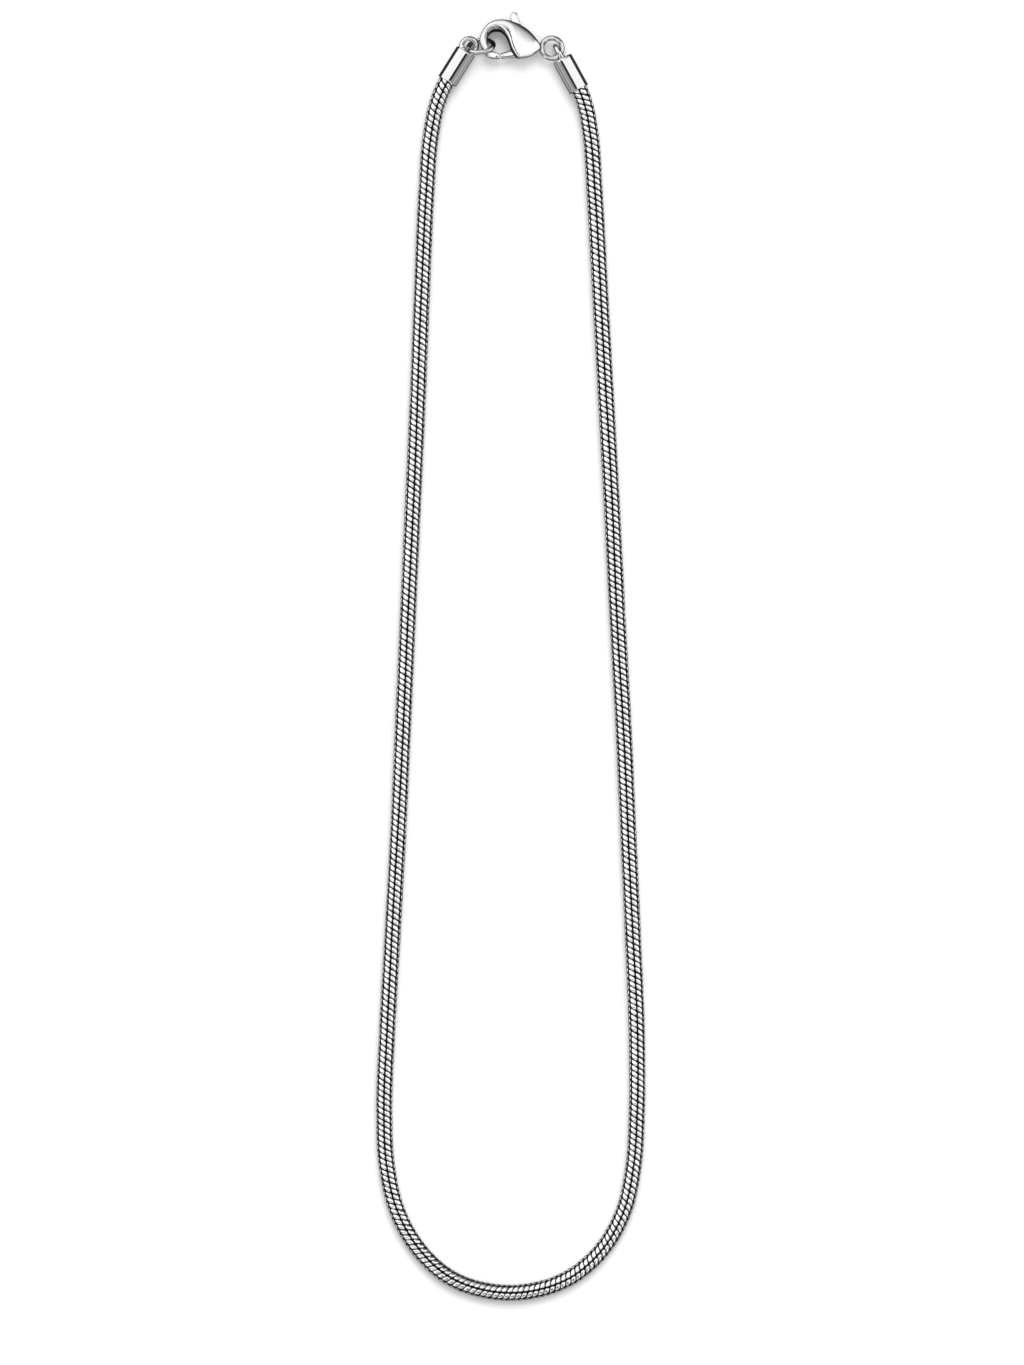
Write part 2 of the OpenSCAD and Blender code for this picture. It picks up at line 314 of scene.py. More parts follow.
class Nodes:
    """Short calls for building a node tree."""

    def __init__(self, tree):
        self.tree = tree
        tree.nodes.clear()

    def add(self, kind, inputs=None, **settings):
        node = self.tree.nodes.new(kind)
        for key, value in settings.items():
            setattr(node, key, value)
        for key, value in (inputs or {}).items():
            if isinstance(value, bpy.types.NodeSocket):
                self.tree.links.new(value, node.inputs[key])
            else:
                node.inputs[key].default_value = value
        return node

    def math(self, operation, a, b=None, clamp=False):
        inputs = {0: a} if b is None else {0: a, 1: b}
        return self.add("ShaderNodeMath", inputs, operation=operation, use_clamp=clamp).outputs[0]

    def product(self, result, *others):
        for other in others:
            result = self.math("MULTIPLY", result, other)
        return result

    def ramp(self, factor, stops):
        """Grey by a factor, from pairs of position and grey."""
        node = self.add("ShaderNodeValToRGB", {"Fac": factor})
        elements = node.color_ramp.elements
        while len(elements) < len(stops):
            elements.new(0.5)
        for element, (position, grey) in zip(elements, stops):
            element.position = position
            element.color = (grey, grey, grey, 1)
        return node.outputs["Color"]

    def spread(self, value, low, high, to_low=0.0, to_high=1.0):
        """A value's range between low and high, spread over another and held at its ends."""
        inputs = {"Value": value, "From Min": low, "From Max": high, "To Min": to_low, "To Max": to_high}
        return self.add("ShaderNodeMapRange", inputs, clamp=True).outputs["Result"]

    def dimmed(self, share, light):
        """Full light where the share is 0, and this much light where it is 1."""
        return self.spread(share, 0.0, 1.0, 1.0, light)

    def mix(self, factor, a, b, blend_type="MIX"):
        inputs = {"Factor": factor, 6: a, 7: b}
        return self.add("ShaderNodeMix", inputs, data_type="RGBA", blend_type=blend_type).outputs[2]

    def noise(self, place, scale, detail):
        inputs = {"Vector": place, "Scale": scale, "Detail": detail}
        return self.add("ShaderNodeTexNoise", inputs).outputs["Fac"]

    def bump(self, height, strength):
        inputs = {"Height": height, "Strength": strength, "Distance": SCRATCH_DEPTH}
        return self.add("ShaderNodeBump", inputs).outputs["Normal"]


def new_object(name, data):
    """An object of a mesh, light or camera, linked to the scene."""
    thing = bpy.data.objects.new(name, data)
    bpy.context.scene.collection.objects.link(thing)
    return thing


def new_material(name):
    """A material, and the short calls for its empty node tree."""
    material = bpy.data.materials.new(name)
    material.use_nodes = True
    return material, Nodes(material.node_tree)


def make_camera():
    data = bpy.data.cameras.new("camera")
    data.lens = LENS
    data.sensor_fit = "VERTICAL"
    data.sensor_height = SENSOR
    data.clip_start = CLIP_START
    data.clip_end = CLIP_END
    camera = new_object("camera", data)
    camera.location = Vector(LOOK_AT) + Vector((0, 0, FRAME_HEIGHT * LENS / SENSOR))
    bpy.context.scene.camera = camera


def make_world():
    """Soft white studio all round, with dark and grey cards that draw lines in the metal."""
    world = bpy.data.worlds.new("studio")
    bpy.context.scene.world = world
    world.use_nodes = True
    n = Nodes(world.node_tree)
    direction = n.add("ShaderNodeTexCoord").outputs["Generated"]
    split = n.add("ShaderNodeSeparateXYZ", {0: direction}).outputs
    sideways = n.math("ABSOLUTE", split["X"])
    front = n.math("SUBTRACT", FRONT_START, split["Y"])
    steepness = n.math("DIVIDE", front, n.math("ADD", sideways, NEVER_NOUGHT))
    white = (1, 1, 1, 1)

    # Two grey cards at the front corners
    card_grey = n.ramp(sideways, CARD_GREYS)
    card_share = n.product(
        n.spread(front, *CARD_NEAR), n.spread(front, *CARD_FAR),
        n.spread(sideways, *CARD_INNER), n.spread(steepness, *CARD_STEEP),
    )
    cards = n.mix(card_share, white, card_grey)

    # Their black edges, which come nearest to straight above, and a dark card low in front
    edge_side = n.product(n.spread(sideways, *EDGE_INNER), n.spread(sideways, *EDGE_OUTER))
    edge_front = n.product(n.spread(front, *EDGE_NEAR), n.spread(front, *EDGE_FAR))
    edges = n.dimmed(n.product(edge_side, edge_front), EDGE_LIGHT)
    foot = n.product(
        n.spread(front, *FOOT_NEAR), n.spread(front, *FOOT_FAR), n.spread(steepness, *FOOT_STEEP),
    )
    dark_front = n.product(edges, n.dimmed(foot, FOOT_LIGHT))

    # A wedge at the back right, darker the lower it is, and a slightly duller back
    back = n.math("SUBTRACT", split["Y"], BACK_START)
    squares = n.math("ADD", n.math("POWER", back, 2.0), n.math("POWER", sideways, 2.0))
    lowness = n.math("SQRT", squares)
    bearing = n.math("ARCTAN2", back, split["X"])
    wedge_grey = n.ramp(lowness, WEDGE_GREYS)
    wedge_share = n.product(n.spread(bearing, *WEDGE_RIGHT), n.spread(bearing, *WEDGE_LEFT))
    back_share = n.product(n.spread(split["Y"], *BACK_NEAR), n.spread(sideways, *BACK_OUTER))
    dark_back = n.product(n.dimmed(back_share, BACK_LIGHT), n.mix(wedge_share, white, wedge_grey))

    look = n.mix(1.0, cards, n.product(dark_front, dark_back), "MULTIPLY")
    studio = n.add("ShaderNodeBackground", {"Color": look, "Strength": STUDIO_STRENGTH})
    plain_colour = (PLAIN_GREY, PLAIN_GREY, PLAIN_GREY, 1)
    plain = n.add("ShaderNodeBackground", {"Color": plain_colour, "Strength": 1.0})
    soft = n.add("ShaderNodeBackground", {"Color": white, "Strength": SOFT_STRENGTH})
    ray = n.add("ShaderNodeLightPath").outputs
    lit = n.add("ShaderNodeMixShader", {0: ray["Is Glossy Ray"], 1: soft.outputs[0], 2: studio.outputs[0]})
    mixed = n.add("ShaderNodeMixShader", {0: ray["Is Camera Ray"], 1: lit.outputs[0], 2: plain.outputs[0]})
    n.add("ShaderNodeOutputWorld", {"Surface": mixed.outputs[0]})


def make_lights():
    light = bpy.data.lights.new("key", "SUN")
    light.energy = SUN_STRENGTH
    light.angle = math.radians(SUN_WIDTH)
    lamp = new_object("key", light)
    lamp.visible_glossy = False
    lamp.rotation_euler = Vector(SUN_FROM).to_track_quat("Z", "Y").to_euler()


def make_floor():
    material, n = new_material("pale_floor")
    place = n.add("ShaderNodeTexCoord").outputs["Object"]
    colour = n.ramp(n.noise(place, 60.0, 3.0), FLOOR_GREYS)
    seen = n.add("ShaderNodeBsdfDiffuse", {"Color": colour, "Roughness": 0.5})
    spot = n.add("ShaderNodeVectorMath", {0: place, 1: MIRRORED_SPOT}, operation="DISTANCE").outputs["Value"]
    mirrored_grey = n.ramp(n.spread(spot, *MIRRORED_REACH), MIRRORED_GREYS)
    mirrored = n.add("ShaderNodeEmission", {"Color": mirrored_grey})
    in_mirror = n.add("ShaderNodeLightPath").outputs["Is Glossy Ray"]
    shader = n.add("ShaderNodeMixShader", {0: in_mirror, 1: seen.outputs[0], 2: mirrored.outputs[0]})
    n.add("ShaderNodeOutputMaterial", {"Surface": shader.outputs[0]})
    corners = [(FLOOR_REACH * x, FLOOR_REACH * y, 0) for x, y in ((-1, -1), (1, -1), (1, 1), (-1, 1))]
    mesh = bpy.data.meshes.new("floor")
    mesh.from_pydata(corners, [], [(0, 1, 2, 3)])
    floor = new_object("floor", mesh)
    floor.data.materials.append(material)


def chain_metal():
    """Polished scales with a dark oxide between them, led by how deep each point lies."""
    material, n = new_material("chain_metal")
    place = n.add("ShaderNodeTexCoord").outputs["Object"]
    wear_and_painted_shade = n.add("ShaderNodeAttribute", attribute_name="wear_and_painted_shade").outputs["Fac"]
    blotch = n.math("SUBTRACT", n.noise(place, 900.0, 3.0), 0.5)
    uneven = n.math("ADD", wear_and_painted_shade, n.math("MULTIPLY", blotch, CHAIN_BLOTCHES), clamp=True)
    shader = n.add("ShaderNodeBsdfPrincipled", {
        "Base Color": n.ramp(uneven, CHAIN_GREYS),
        "Metallic": 1.0,
        "Roughness": n.spread(uneven, *CHAIN_WORN, *CHAIN_ROUGHNESS),
        "Specular Tint": (CHAIN_EDGE, CHAIN_EDGE, CHAIN_EDGE, 1),
        "Normal": n.bump(n.noise(place, 6000.0, 2.0), 0.05),
    })
    n.add("ShaderNodeOutputMaterial", {"Surface": shader.outputs[0]})
    return material


def polished_metal(name, grey, roughness, edge):
    """Polished steel with faint clouding and hairline scratches, dull and dark where its per-point value is
    low, which paints shade and reflection on the clasp.

    The edge value is how much it mirrors where it turns away from the eye.
    """
    material, n = new_material(name)
    place = n.add("ShaderNodeTexCoord").outputs["Object"]
    wear_and_painted_shade = n.add("ShaderNodeAttribute", attribute_name="wear_and_painted_shade").outputs["Fac"]
    cloud = n.noise(place, 500.0, 4.0)
    polished = n.ramp(cloud, [(0.3, grey - 0.03), (0.7, grey + 0.02)])
    stretched = n.add("ShaderNodeMapping", {"Vector": place, "Scale": SCRATCH_STRETCH}).outputs[0]
    shader = n.add("ShaderNodeBsdfPrincipled", {
        "Base Color": n.mix(1.0, polished, n.ramp(wear_and_painted_shade, PAINTED_SHADE_GREYS), "MULTIPLY"),
        "Metallic": n.spread(wear_and_painted_shade, *PAINTED_SHADE_METALLIC),
        "Roughness": n.spread(cloud, 0.3, 0.7, roughness - 0.02, roughness + 0.03),
        "Specular IOR Level": 0.0,
        "Specular Tint": (edge, edge, edge, 1),
        "Normal": n.bump(n.noise(stretched, 1500.0, 2.0), 0.03),
    })
    n.add("ShaderNodeOutputMaterial", {"Surface": shader.outputs[0]})
    return material


def smooth_rows(rows, steps):
    """Points on a smooth curve through unevenly spaced rows, with steps of them from row to row."""
    rows = np.array(rows, float)
    gaps = np.diff(rows, axis=0)
    lengths = np.linalg.norm(gaps, axis=1)[:, None]
    slopes = gaps / lengths
    inner = (lengths[1:] * slopes[:-1] + lengths[:-1] * slopes[1:]) / (lengths[:-1] + lengths[1:])
    slopes = np.vstack([slopes[:1], inner, slopes[-1:]])
    t = np.linspace(0, 1, steps, endpoint=False)[None, :, None]
    a, b = rows[:-1, None], rows[1:, None]
    da, db = (lengths * slopes[:-1])[:, None], (lengths * slopes[1:])[:, None]
    points = (2 * t**3 - 3 * t**2 + 1) * a + (t**3 - 2 * t**2 + t) * da
    points = points + (3 * t**2 - 2 * t**3) * b + (t**3 - t**2) * db
    return np.vstack([points.reshape(-1, rows.shape[1]), rows[-1:]])


def full_turn(sides):
    """Even angles once round."""
    return np.linspace(0, 2 * math.pi, sides, endpoint=False)


def arc(middle, radius, angle):
    """Points at these angles round a middle."""
    return np.column_stack([middle[0] + radius * np.cos(angle), middle[1] + radius * np.sin(angle)])


def loop_faces(count, sides, joined=False):
    """Faces round a tube of count loops with sides points each, its ends closed by faces or joined."""
    first = np.arange(sides)
    after = (first + 1) % sides
    loops = count if joined else count - 1
    faces = []
    for i in range(loops):
        here, there = i * sides, (i + 1) % count * sides
        faces += np.column_stack([here + first, here + after, there + after, there + first]).tolist()
    if not joined:
        faces.append(list(range(sides - 1, -1, -1)))
        faces.append([(count - 1) * sides + k for k in range(sides)])
    return faces


def sweep(path, radii, normal, sides, joined=False):
    """A wire of varying radius along a path that lies in the plane with this normal."""
    path = np.array(path, float)
    ahead = np.gradient(path, axis=0)
    if joined:
        ahead = np.roll(path, -1, axis=0) - np.roll(path, 1, axis=0)
    side = np.cross(ahead, normal)
    side /= np.linalg.norm(side, axis=1, keepdims=True)
    angle = full_turn(sides)[None, :, None]
    radii = np.broadcast_to(radii, len(path))[:, None, None]
    points = path[:, None] + radii * (np.cos(angle) * side[:, None] + np.sin(angle) * np.array(normal, float))
    return points.reshape(-1, 3), loop_faces(len(path), sides, joined)


def lathe(profile, sides):
    """A turned solid about z, from a closed profile of radius and height."""
    around = arc((0, 0), 1, full_turn(sides))
    profile = np.array(profile, float)
    points = np.concatenate([
        profile[None, :, :1] * around[:, None, :],
        np.broadcast_to(profile[None, :, 1:], (sides, len(profile), 1)),
    ], axis=2)
    return points.reshape(-1, 3), loop_faces(sides, len(profile), joined=True)


def prism(outline, half_height):
    """An upright solid from a plan outline, centred on height 0."""
    outline = np.array(outline, float)
    lower = np.column_stack([outline, np.full(len(outline), -half_height)])
    upper = np.column_stack([outline, np.full(len(outline), half_height)])
    return np.vstack([lower, upper]), loop_faces(2, len(outline))


def disc(middle, radius, half_height, sides):
    """An upright disc, centred on height 0."""
    return prism(arc(middle, radius, full_turn(sides)), half_height)


def wire_ring(middle_radius, wire, steps, seam_at=None):
    """A flat ring of wire, which may have a pressed seam at an angle in degrees."""
    angle = full_turn(steps)
    path = np.column_stack([arc((0, 0), middle_radius, angle), np.zeros(steps)])
    radii = np.full(steps, wire)
    if seam_at is not None:
        off = (angle - math.radians(seam_at)) * middle_radius
        radii = wire - SEAM_DEPTH * np.exp(-((off / SEAM_WIDTH) ** 2))
    return sweep(path, radii, (0, 0, 1), WIRE_SIDES, joined=True)


def rounded_limb(rows, power):
    """A smooth limb through sections that are given by their two sides and half depth."""
    angle = full_turn(LIMB_SIDES)
    out = np.sign(np.cos(angle)) * np.abs(np.cos(angle)) ** (2 / power)
    up = np.sign(np.sin(angle)) * np.abs(np.sin(angle)) ** (2 / power)
    loops = []
    for row in smooth_rows(rows, LIMB_STEPS):
        middle, reach = (row[:2] + row[2:4]) / 2, (row[:2] - row[2:4]) / 2
        loops.append(np.column_stack([middle + out[:, None] * reach, row[4] * up]))
    return np.vstack(loops), loop_faces(len(loops), LIMB_SIDES)


def new_mesh(name, points, faces):
    """A mesh from arrays of points and faces."""
    mesh = bpy.data.meshes.new(name)
    mesh.from_pydata(np.asarray(points, float).tolist(), [], [list(f) for f in faces])
    return mesh


def solid(shape):
    """A loose object of a shape in millimetres, with its faces turned outwards."""
    mesh = new_mesh("solid", *shape)
    work = bmesh.new()
    work.from_mesh(mesh)
    bmesh.ops.recalc_face_normals(work, faces=work.faces)
    work.to_mesh(mesh)
    work.free()
    return new_object("solid", mesh)


def carve(base, *steps):
    """Unite solids with the first one or cut them from it, and give back its mesh."""
    for operation, tool in steps:
        change = base.modifiers.new("carve", "BOOLEAN")
        change.operation = operation
        change.object = tool
        change.solver = "EXACT"
    graph = bpy.context.evaluated_depsgraph_get()
    mesh = bpy.data.meshes.new_from_object(base.evaluated_get(graph))
    for thing in [base] + [tool for _, tool in steps]:
        used = thing.data
        bpy.data.objects.remove(thing)
        bpy.data.meshes.remove(used)
    return mesh


def shade(mesh, wear_and_painted_shade):
    """Smooth the faces of a mesh, and keep its per-point value: how worn the chain is, and on the clasp its
    painted shade.
    """
    mesh.polygons.foreach_set("use_smooth", np.ones(len(mesh.polygons), bool))
    values = np.asarray(wear_and_painted_shade, np.float32)
    mesh.attributes.new("wear_and_painted_shade", "FLOAT", "POINT").data.foreach_set("value", values)


def add_piece(name, mesh, body, material, node):
    """A piece that rides on a body and stands for its node, whose own part is hidden."""
    mesh.materials.clear()
    mesh.materials.append(material)
    piece = new_object(name, mesh)
    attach(piece, body)
    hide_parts(node)


def placed_shaded_mesh(mesh, place, known=None):
    """Put a carved mesh in millimetres at its place, with the painted shade of the nearest of the known
    points where these are given.
    """
    wear_and_painted_shade = np.ones(len(mesh.vertices))
    if known is not None:
        points, values = known
        tree = kdtree.KDTree(len(points))
        for i, point in enumerate(points):
            tree.insert(point, i)
        tree.balance()
        wear_and_painted_shade = [values[tree.find(vertex.co)[1]] for vertex in mesh.vertices]
    mesh.transform(place @ Matrix.Scale(MM, 4))
    shade(mesh, wear_and_painted_shade)
    mesh.set_sharp_from_angle(angle=math.radians(SHARP_ANGLE))
    return mesh


def placed(point, *turns):
    """A place at a point in millimetres, turned by degrees about each axis, the last one first."""
    place = Matrix.Translation(Vector(point) * MM)
    for degrees, axis in turns:
        place = place @ Matrix.Rotation(math.radians(degrees), 4, axis)
    return place


class Route:
    """The chain's middle line, with its directions, by distance along it."""

    def __init__(self):
        rows = smooth_rows(CHAIN_ROUTE, ROUTE_STEPS)
        lift = np.maximum(rows[:, 2], 0)
        height = RING_RADIUS + lift * (CAP_HEIGHT - RING_RADIUS)
        self.points = np.column_stack([rows[:, 0] * MM, rows[:, 1] * MM, height])
        steps = np.linalg.norm(np.diff(self.points, axis=0), axis=1)
        self.along = np.concatenate([[0], np.cumsum(steps)])
        self.length = self.along[-1]
        self.ahead = np.gradient(self.points, self.along, axis=0)

    def place(self, s, angle, radius):
        """Points at distance s along, at an angle from the top and a radius."""
        s, angle, radius = np.broadcast_arrays(s, angle, radius)
        middle = np.stack([np.interp(s, self.along, self.points[:, i]) for i in range(3)], -1)
        ahead = np.stack([np.interp(s, self.along, self.ahead[:, i]) for i in range(3)], -1)
        ahead /= np.linalg.norm(ahead, axis=-1, keepdims=True)
        side = np.cross(ahead, (0, 0, 1))
        side /= np.linalg.norm(side, axis=-1, keepdims=True)
        up = np.cross(side, ahead)
        return middle + radius[..., None] * (np.cos(angle)[..., None] * up + np.sin(angle)[..., None] * side)

    def twist(self, s):
        """How far the columns of scales turn about the chain, in radians."""
        start = math.radians(END_TWIST) * np.exp(-((s / END_TWIST_REACH) ** 2))
        waves = [
            math.radians(size) * np.sin(s / self.length * rate + phase)
            for size, rate, phase in TWIST_WAVES
        ]
        return sum(waves) - start


def scale_mesh():
    """One scale as angle share, offset along in pitches, drop in mm and how worn it is, by point."""
    rows = []
    for share, width, drop in SCALE_STATIONS * (SCALE_REACH, 1, 1):
        tip_wear = min(1, max(0, 1 - drop / UNWORN_DROP))
        for across, edge_drop, wear_and_painted_shade in SCALE_PROFILE:
            rows.append((share, 0.5 * across * width, drop + edge_drop, wear_and_painted_shade * tip_wear))
        for across in (UNDERSIDE_WIDTH, -UNDERSIDE_WIDTH):
            rows.append((share, 0.5 * across * width, SCALE_THICKNESS + UNDERSIDE_DROP * drop, 0))
    return np.array(rows), loop_faces(len(SCALE_STATIONS), len(SCALE_PROFILE) + 2)


def column_points(route, column, ring_s, pitch, scale, rng):
    """The points of one column's scales, one at each ring and each a little off its place."""
    shift = rng.normal(0, SHIFT_SPREAD, (len(ring_s), 1)) * pitch
    lift = rng.normal(0, LIFT_SPREAD, (len(ring_s), 1)) * MM
    roll = rng.normal(0, ROLL_SPREAD, (len(ring_s), 1)) * MM
    phase = (-ROW_SHIFT * column) % 1 - FIRST_SHIFT
    s = (ring_s + phase * pitch)[:, None] + shift
    s = s + (scale[:, 1] - ROW_SHIFT * scale[:, 0] / 2) * pitch
    column_angle = 2 * math.pi / COLUMNS
    angle = (column + 0.5) * column_angle + scale[:, 0] * column_angle / 2 + route.twist(s)
    radius = RING_RADIUS - scale[:, 2] * MM + np.minimum(lift, 0) + roll * scale[:, 1]
    return route.place(np.clip(s, 0, route.length), angle, radius).reshape(-1, 3)


def build_chain(material):
    """One piece of scales on a dark core for each of the chain's nodes."""
    route = Route()
    rng = np.random.default_rng(CHANCE_SEED)
    scale, scale_faces = scale_mesh()
    sides = np.array([f for f in scale_faces if len(f) == 4])
    tips = np.array([f for f in scale_faces if len(f) > 4])
    count = int(route.length / RING_PITCH)
    pitch = route.length / count
    ring_s = (np.arange(count) + 0.5) * pitch
    cut_s = route.along[[cut * ROUTE_STEPS for cut in CHAIN_CUTS]]
    for name, low, high in zip(CHAIN_NODES, cut_s[:-1], cut_s[1:]):
        core_s = np.linspace(low, high, int((high - low) / CORE_STEP))
        core = route.place(core_s[:, None], full_turn(CORE_SIDES)[None], CORE_RADIUS)
        total = core_s.size * CORE_SIDES
        points, wear_and_painted_shade = [core.reshape(-1, 3)], [np.zeros(total)]
        faces = loop_faces(len(core_s), CORE_SIDES)
        own_s = ring_s[(ring_s >= low) & (ring_s < high)]
        for column in range(COLUMNS):
            points.append(column_points(route, column, own_s, pitch, scale, rng))
            wear_and_painted_shade.append(np.tile(scale[:, 3], len(own_s)))
            starts = total + np.arange(len(own_s)) * len(scale)
            for part in (sides, tips):
                faces += (part[None] + starts[:, None, None]).reshape(-1, part.shape[1]).tolist()
            total += len(own_s) * len(scale)
        mesh = new_mesh(name + "_scales", np.vstack(points), faces)
        shade(mesh, np.concatenate(wear_and_painted_shade))
        mesh.update()
        mesh.validate()
        add_piece(name + "_scales", mesh, "necklace", material, name)


def corner(middle, radius, start, end, steps=5):
    """Points on a rounded corner, from one angle to another in degrees."""
    return arc(middle, radius, np.radians(np.linspace(start, end, steps)))


def cap_profile():
    """The cap's section as radius and height, from its closed end over its side into its bore.

    It starts and ends a hair off the axis, where a turned point would make faces of no size.
    """
    end = corner((CAP_RADIUS - CAP_EDGE, -CAP_EDGE), CAP_EDGE, 90, 0, CAP_END_STEPS)
    side = [(CAP_RADIUS, z) for z in np.linspace(-SIDE_TOP, -CAP_LENGTH + SIDE_BOTTOM, SIDE_STEPS)]
    mouth = corner((CAP_RADIUS - CAP_LIP, -CAP_LENGTH + CAP_LIP), CAP_LIP, 0, -90)
    bore_mouth = corner((CAP_BORE + CAP_LIP, -CAP_LENGTH + CAP_LIP), CAP_LIP, -90, -180)
    bore_end = corner((CAP_BORE - CAP_INNER, -CAP_FLOOR - CAP_INNER), CAP_INNER, 0, 90)
    return np.vstack([[(CAP_AXIS, 0)], end, side, mouth, bore_mouth, bore_end, [(CAP_AXIS, -CAP_FLOOR)]])


def cap_loop(turn):
    """The wire loop's arc outside the cap, thickened where the solder holds it."""
    angle = np.linspace(-math.pi + LOOP_GAP, math.pi - LOOP_GAP, LOOP_STEPS)
    path = np.column_stack([
        LOOP_RADIUS * np.sin(angle), np.zeros(len(angle)), LOOP_REACH + LOOP_RADIUS * np.cos(angle),
    ])
    solder = np.exp(-((np.maximum(path[:, 2], 0) / SOLDER_REACH) ** 2))
    points, faces = sweep(path, LOOP_WIRE * (1 + SOLDER_THICKENING * solder), (0, 1, 0), LOOP_SIDES)
    turned = np.array(Matrix.Rotation(math.radians(turn), 3, "Z"))
    return points @ turned.T, faces


def build_caps(material):
    for name, (x, y), heading, turn in CAPS:
        mesh = carve(solid(lathe(cap_profile(), CAP_SIDES)), ("UNION", solid(cap_loop(turn))))
        mesh = placed_shaded_mesh(mesh, placed((x, y, CAP_RADIUS), (heading, "Z"), (90, "Y")))
        add_piece(name + "_turned", mesh, "necklace", material, name)


def build_jump_ring(material):
    mesh = carve(solid(wire_ring(JUMP_RADIUS, JUMP_WIRE, JUMP_STEPS, SEAM_AT)))
    mesh = placed_shaded_mesh(mesh, placed(JUMP_AT, (JUMP_HEADING, "Z"), (-JUMP_TILT, "X")))
    add_piece("jump_ring_wire", mesh, "necklace", material, "jump_ring")


def clasp_section(row, squareness):
    """One closed section of the clasp's body: points, and its painted light at each, standing in for shade
    and reflection.

    Widths along the inner side are true ones, so they grow where the section crosses it askew.
    """
    outer, inner, half = row[:2], row[2:4], row[4]
    wall, ledge, lip, crease, slope, rounding, dark = row[5:]
    ledge, crease, dark = max(ledge, 0), max(crease, 0), min(max(dark, 0), 1)
    width = np.linalg.norm(outer - inner)
    cut_in, creased = min(1, ledge / FULL_LEDGE), min(1, crease / FULL_CREASE)
    step, groove = STEP_WIDTH * cut_in + LEAST_WIDTH, CREASE_WIDTH * creased + LEAST_WIDTH
    widths = np.array([wall, ledge + LEAST_LEDGE, step, lip, groove]) / squareness
    widths = list(widths * min(1, INNER_SHARE * width / sum(widths)))
    edge = min(rounding, EDGE_SHARE * (width - sum(widths)))
    widths += [width - edge - sum(widths), edge]

    on_wall, on_ledge, on_step, on_lip, on_crease, on_face = [
        np.linspace(0, 1, steps, endpoint=False) for steps in ZONE_STEPS[:-1]
    ]
    on_edge = np.linspace(0, 1, ZONE_STEPS[-1])
    high = half * (FACE_HEIGHT - LIP_DROP * creased)
    shoulder = half * (FACE_HEIGHT - SHOULDER_DROP * creased)
    low = high - STEP_HEIGHT * cut_in * half
    rise = LEDGE_RISE * half
    crown = min(half - shoulder, FACE_CROWN * widths[5])
    flank = FLANK_HEIGHT * half
    radius = min(widths[0], WALL_ROUNDING * half)
    turn = np.clip((on_wall - UPRIGHT_SHARE) / (1 - UPRIGHT_SHARE), 0, 1) * math.pi / 2
    upright = np.clip(on_wall / UPRIGHT_SHARE, 0, 1) * (low - radius) + radius * np.sin(turn)
    sloping = low * np.sin(on_wall * math.pi / 2) ** SLOPING_RISE
    crowned = crown * np.sin(np.clip(on_face / CROWN_SHARE, 0, 1) * math.pi / 2)
    fall = np.clip((on_face - FALL_START) / (1 - FALL_START), 0, 1)
    heights = [
        dark * sloping + (1 - dark) * upright,
        low + rise * on_ledge,
        low + rise + (high - low - rise) * on_step,
        high + LIP_CROWN * lip * np.sin(math.pi * on_lip),
        high + (shoulder - high) * on_crease - crease * np.sin(math.pi * on_crease) ** 2,
        shoulder + crowned - slope * half * fall**FALL_POWER,
        flank + (shoulder + crown - slope * half - flank) * (1 - on_edge**EDGE_POWER) ** (1 / EDGE_POWER),
    ]

    across_wall = 1 - dark * np.cos(on_wall * math.pi / 2) ** SLOPING_RUN - (1 - dark) * np.cos(turn)
    shares = [across_wall, on_ledge, on_step, on_lip, on_crease, on_face, on_edge]
    starts = np.concatenate([[0], np.cumsum(widths)])
    away = np.concatenate([start + size * share for start, size, share in zip(starts, widths, shares)])
    # Painted shade and painted reflection: a dark inner wall, ledge and step, a dark line in the crease, and
    # darker flanks
    crease_dark = min(1, crease / DARK_CREASE) * CREASE_DARKNESS
    painted_light = np.concatenate([
        1 - dark * (1 - WALL_TOP_LIGHT * (1 - cut_in) * across_wall**WALL_TOP_POWER),
        np.full(len(on_ledge), 1 - dark * LEDGE_DARKNESS),
        1 - dark * (1 - on_step**STEP_POWER),
        np.ones(len(on_lip)),
        1 - crease_dark * np.sin(math.pi * on_crease) ** 2,
        np.ones(len(on_face)),
        1 - FLANK_PAINTED_SHADE * on_edge ** (FLANK_POWER + edge),
    ])
    plan = inner + away[:, None] * (outer - inner) / width
    height = np.concatenate(heights)
    top = np.column_stack([plan, height])
    under = np.column_stack([plan, -height])[:0:-1]
    return np.vstack([top, under]), np.concatenate([painted_light, painted_light[:0:-1]])


def clasp_form():
    """The clasp's body with its hook: points, faces, and the painted light at each point, standing in for
    shade and reflection.
    """
    rows = smooth_rows(CLASP_SECTIONS, CLASP_STEPS)
    ahead = np.gradient(rows[:, 2:4], axis=0)
    across = rows[:, 0:2] - rows[:, 2:4]
    square = np.abs(ahead[:, 0] * across[:, 1] - ahead[:, 1] * across[:, 0])
    square /= np.linalg.norm(ahead, axis=1) * np.linalg.norm(across, axis=1)
    made = [clasp_section(row, max(part, LEAST_SQUARENESS)) for row, part in zip(rows, square)]
    points = np.vstack([section for section, _ in made])
    painted_light = np.concatenate([values for _, values in made])
    return points, loop_faces(len(rows), len(made[0][0])), painted_light


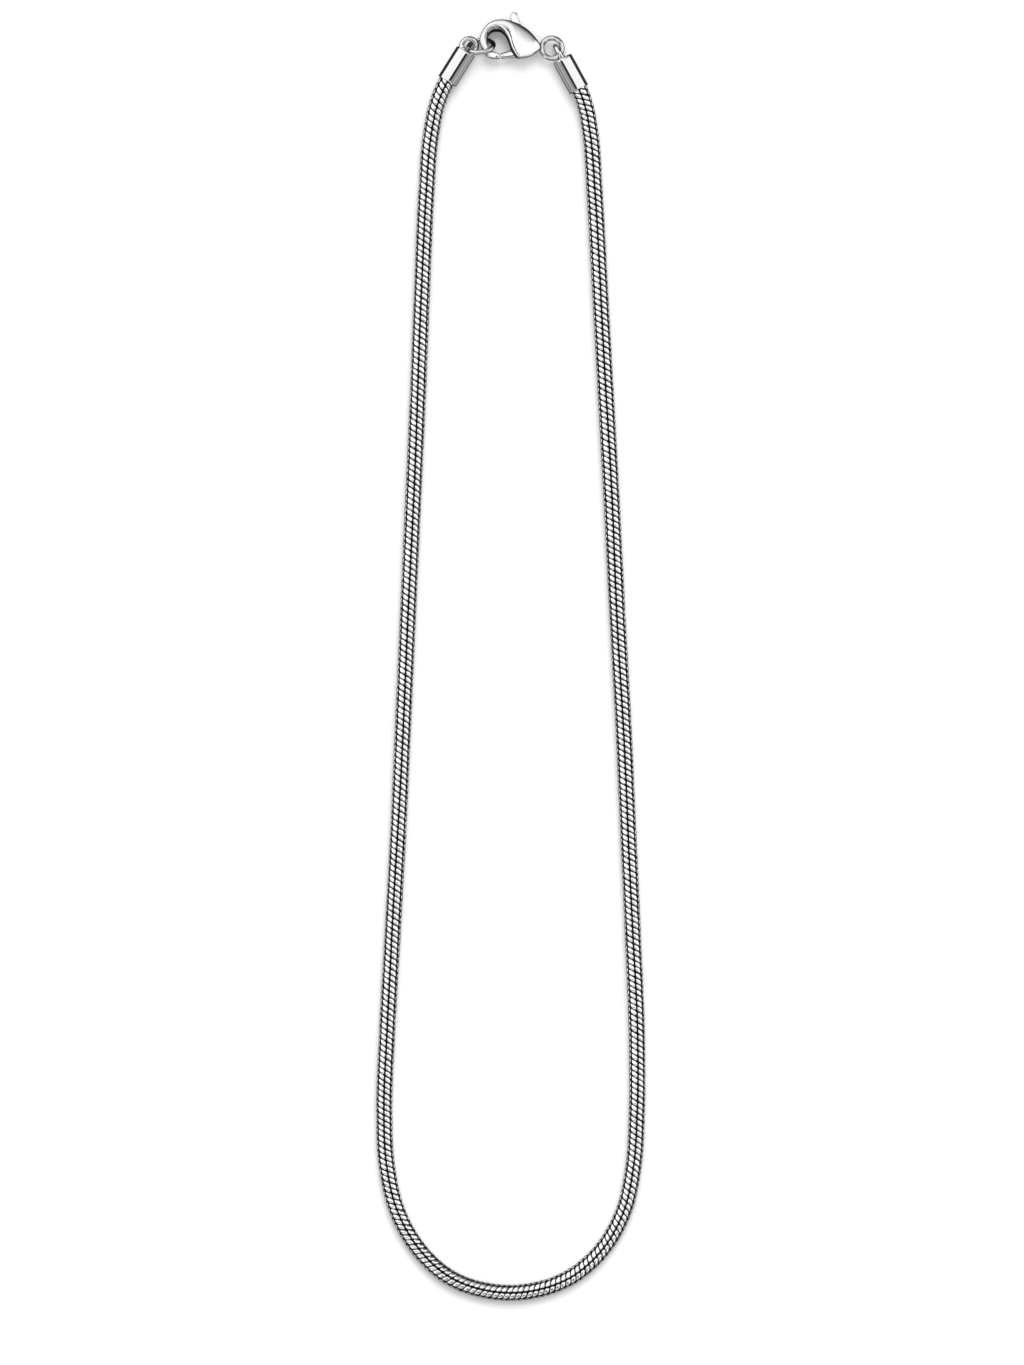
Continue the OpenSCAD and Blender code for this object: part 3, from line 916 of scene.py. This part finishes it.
def build_clasp(material):
    points, faces, painted_light = clasp_form()
    ring = wire_ring(TAIL_RADIUS, TAIL_WIRE, TAIL_STEPS)
    # The tail ring is painted a little darker all over, as shade
    ring_painted_light = np.full(len(ring[0]), TAIL_PAINTED_LIGHT)
    known = (np.vstack([points, ring[0]]), np.concatenate([painted_light, ring_painted_light]))
    place = placed(CLASP_AT)
    mesh = carve(
        solid((points, faces)),
        ("UNION", solid(ring)),
        ("DIFFERENCE", solid(prism(SLOT_OUTLINE, SLOT_HALF))),
        ("UNION", solid(disc(PIN_AT, PIN_RADIUS, PIN_HALF, PIN_SIDES))),
    )
    mesh = placed_shaded_mesh(mesh, place, known)
    add_piece("clasp_body_cast", mesh, "necklace", material, "clasp_body")

    gate = rounded_limb(GATE_SECTIONS, GATE_SQUARENESS)
    arm = rounded_limb(ARM_SECTIONS, ARM_SQUARENESS)
    hub = disc(PIN_AT, HUB_RADIUS, LEVER_HALF, HUB_SIDES)
    # Painted shade and painted reflection: the gate is darker towards its lower edge; arm and hub get none
    outward = np.maximum(0, -np.cos(full_turn(LIMB_SIDES)))
    gate_painted_light = np.tile(1 - FLANK_PAINTED_SHADE * outward**GATE_SHADE_POWER, len(gate[0]) // LIMB_SIDES)
    other_painted_light = np.ones(len(arm[0]) + len(hub[0]))
    known = (np.vstack([gate[0], arm[0], hub[0]]), np.concatenate([gate_painted_light, other_painted_light]))
    mesh = carve(
        solid(gate),
        ("UNION", solid(arm)),
        ("UNION", solid(hub)),
        ("DIFFERENCE", solid(disc(PIN_AT, BORE_RADIUS, BORE_HALF, BORE_SIDES))),
    )
    mesh = placed_shaded_mesh(mesh, place, known)
    add_piece("clasp_lever_cast", mesh, "lever", material, "clasp_lever")


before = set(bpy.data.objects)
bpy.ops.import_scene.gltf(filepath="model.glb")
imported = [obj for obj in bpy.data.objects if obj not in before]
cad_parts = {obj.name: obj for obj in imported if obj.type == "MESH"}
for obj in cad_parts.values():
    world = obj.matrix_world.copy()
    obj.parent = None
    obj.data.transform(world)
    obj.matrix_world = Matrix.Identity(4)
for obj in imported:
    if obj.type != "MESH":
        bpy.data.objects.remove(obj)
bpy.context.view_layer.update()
make_camera()
make_world()
make_lights()
make_floor()
settings = bpy.context.scene.view_settings
settings.view_transform = "Standard"
settings.look = "None"
chain_steel = chain_metal()
cap_steel = polished_metal("cap_steel", grey=0.72, roughness=0.07, edge=0.05)
ring_steel = polished_metal("ring_steel", grey=0.63, roughness=0.06, edge=0.02)
clasp_steel = polished_metal("clasp_steel", grey=0.76, roughness=0.12, edge=0.04)
build_chain(chain_steel)
build_caps(cap_steel)
build_jump_ring(ring_steel)
build_clasp(clasp_steel)
